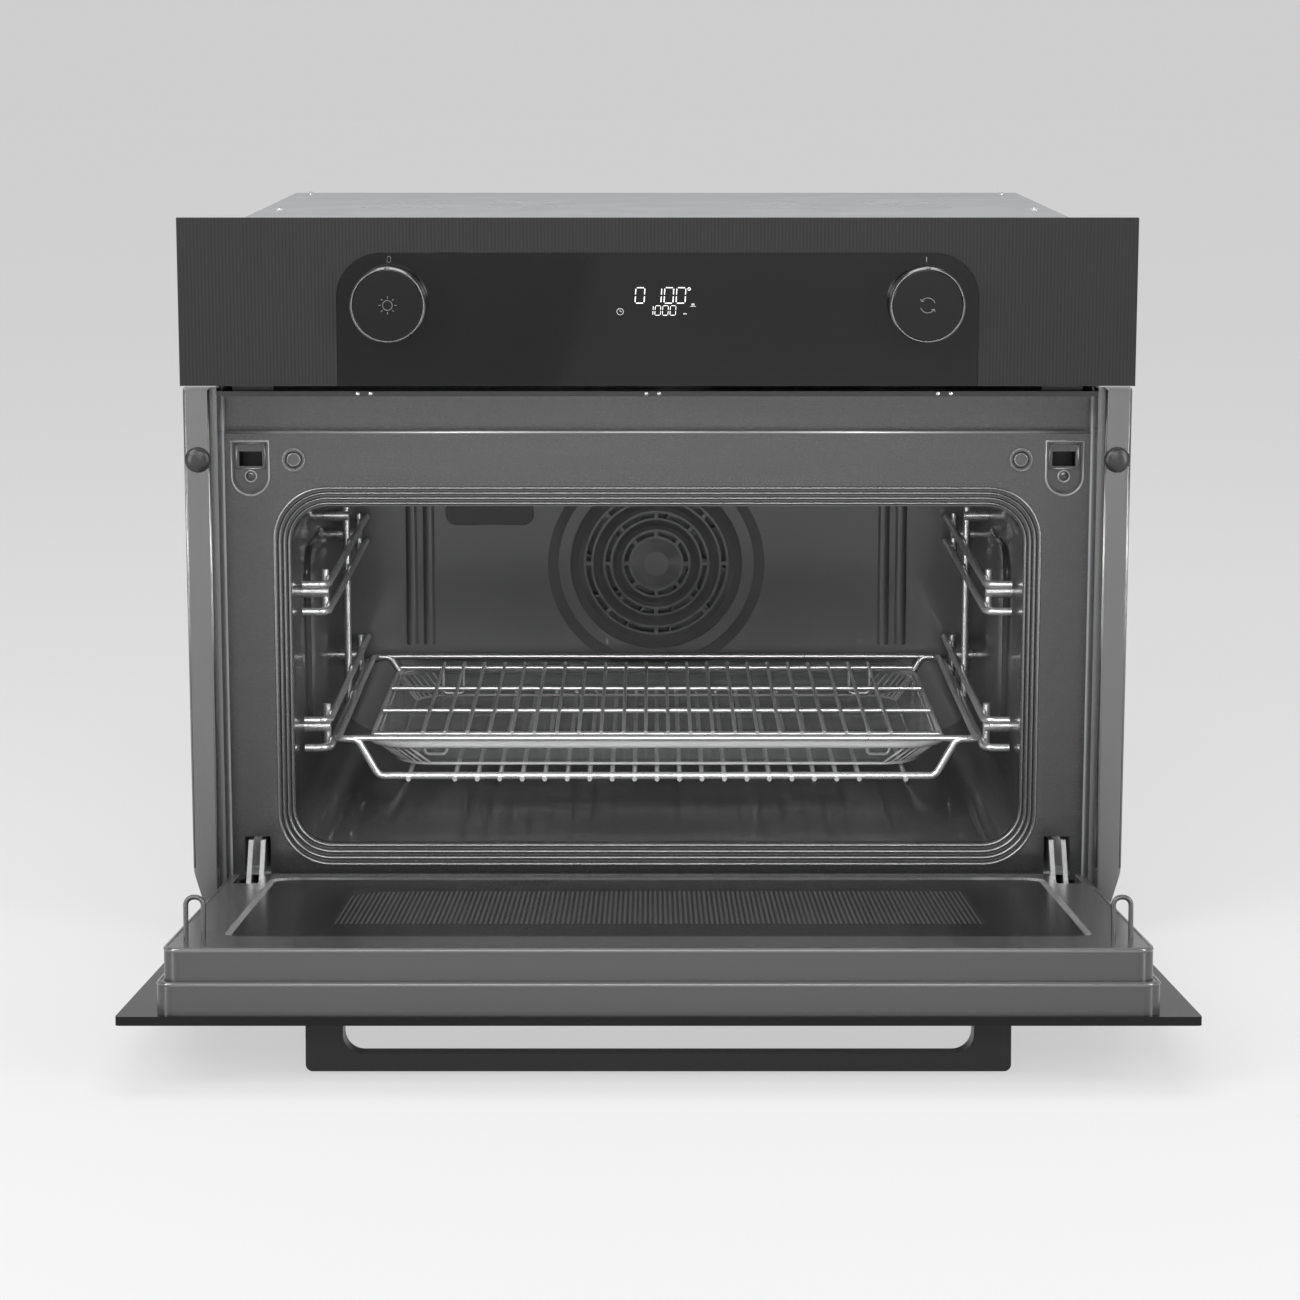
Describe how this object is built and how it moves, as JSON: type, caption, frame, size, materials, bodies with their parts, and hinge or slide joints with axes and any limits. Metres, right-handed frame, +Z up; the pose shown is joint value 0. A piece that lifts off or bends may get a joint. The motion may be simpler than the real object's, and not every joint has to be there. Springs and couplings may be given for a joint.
{
  "type": "wall oven",
  "caption": "Built-in compact wall oven with a drop-down glass door, two turning knobs, sliding wire shelf, glass tray and a fan behind a slotted back cover.",
  "frame": {"origin": "on the underside of the base, on the centre line, in the plane of the cabinet's face", "axes": "+X to the right seen from the front, +Y back into the cabinet, +Z up"},
  "size_m": [0.597, 0.8797, 0.4628],
  "materials": {
    "fascia_matte": "matte black glass with fine vertical lines",
    "fascia_gloss": "glossy black glass",
    "steel_satin": "satin grey steel",
    "trim_steel": "satin steel strip",
    "zinc_sheet": "galvanised sheet",
    "enamel": "glossy dark enamel",
    "chrome_wire": "polished wire",
    "chrome_trim": "polished ring",
    "black_plastic": "black moulded plastic",
    "black_rubber": "matte rubber",
    "clear_glass": "clear glass",
    "dark_glass": "black printed glass",
    "door_glass": "black printed door glass",
    "liner_paint": "satin grey enamel",
    "handle_black": "satin black coated metal",
    "mineral_wool": "mineral wool blanket",
    "element_metal": "oxidised heating tube",
    "circuit_board": "circuit board",
    "copper_iron": "wound iron core",
    "screen_steel": "black perforated screen"
  },
  "bodies": {
    "root": {"base_pan": "zinc_sheet", "side_panels": "zinc_sheet", "back_cover": "zinc_sheet", "top_cover": "zinc_sheet", "upper_front_panel": "zinc_sheet", "front_frame": "steel_satin", "side_trims": "trim_steel", "fixing_bushes": "black_plastic", "bush_caps": "black_rubber", "latch_plates": "steel_satin", "interlock_switches": "black_plastic", "door_buffers": "black_rubber", "hinge_receivers": "zinc_sheet", "hinge_arms": "chrome_trim", "cavity_liner": "enamel", "cavity_back": "enamel", "fan_cover": "enamel", "fan_chamber": "zinc_sheet", "ring_element": "element_metal", "grill_element": "element_metal", "fan_motor": "copper_iron", "insulation_wrap": "mineral_wool", "lamp_housing": "zinc_sheet", "lamp_cover": "clear_glass", "side_racks": "chrome_wire", "component_deck": "zinc_sheet", "waveguide": "zinc_sheet", "magnetron": "zinc_sheet", "power_inverter": "circuit_board", "blower_housing": "zinc_sheet", "air_duct": "zinc_sheet", "vent_deflector": "black_plastic", "cable_gland": "black_plastic", "fascia_panel": "fascia_matte", "fascia_inset": "fascia_gloss", "fascia_carrier": "black_plastic", "control_board": "circuit_board", "display_module": "black_plastic", "encoders": "black_plastic"},
    "door": {"door_liner": "liner_paint", "door_outer_glass": "door_glass", "door_inner_glass": "dark_glass", "door_mid_glass": "clear_glass", "microwave_screen": "screen_steel", "door_handle": "handle_black", "glass_rails": "black_plastic", "latch_loops": "chrome_trim", "hinge_cassettes": "zinc_sheet", "hinge_springs": "zinc_sheet"},
    "left_plunger": {"left_knob_shaft": "chrome_trim"},
    "left_knob": {"left_knob_ring": "chrome_trim", "left_knob_face": "black_plastic"},
    "right_plunger": {"right_knob_shaft": "chrome_trim"},
    "right_knob": {"right_knob_ring": "chrome_trim", "right_knob_face": "black_plastic"},
    "shelf": {"wire_shelf": "chrome_wire"},
    "tray": {"glass_tray": "clear_glass"},
    "insert": {"insert_grid": "chrome_wire"},
    "fan": {"fan_wheel": "zinc_sheet"},
    "blower": {"blower_rotor": "black_plastic"}
  },
  "joints": [
    {"name": "door_hinge", "type": "hinge", "parent": "root", "child": "door", "pos_m": [0, -0.01, 0.006], "axis": [-1, 0, 0], "range_deg": [0, 83.5]},
    {"name": "shelf_slide", "type": "slide", "parent": "root", "child": "shelf", "axis": [0, 1, 0], "range_m": [-0.3, 0]},
    {"name": "tray_lift", "type": "slide", "parent": "shelf", "child": "tray", "axis": [0, 0, 1], "range_m": [0, 0.04]},
    {"name": "insert_lift", "type": "slide", "parent": "tray", "child": "insert", "axis": [0, 0, 1], "range_m": [0, 0.04]},
    {"name": "left_knob_press", "type": "slide", "parent": "root", "child": "left_plunger", "axis": [0, 1, 0], "range_m": [0, 0.0015], "stiffness_N_per_m": 600},
    {"name": "left_knob_turn", "type": "hinge", "parent": "left_plunger", "child": "left_knob", "pos_m": [-0.167, 0, 0.403], "axis": [0, 1, 0], "continuous": true},
    {"name": "right_knob_press", "type": "slide", "parent": "root", "child": "right_plunger", "axis": [0, 1, 0], "range_m": [0, 0.0015], "stiffness_N_per_m": 600},
    {"name": "right_knob_turn", "type": "hinge", "parent": "right_plunger", "child": "right_knob", "pos_m": [0.167, 0, 0.403], "axis": [0, 1, 0], "continuous": true},
    {"name": "fan_spin", "type": "hinge", "parent": "root", "child": "fan", "pos_m": [0, 0.42, 0.174], "axis": [0, 1, 0], "continuous": true},
    {"name": "blower_spin", "type": "hinge", "parent": "root", "child": "blower", "pos_m": [-0.11, 0.19, 0.323], "axis": [1, 0, 0], "continuous": true}
  ]
}
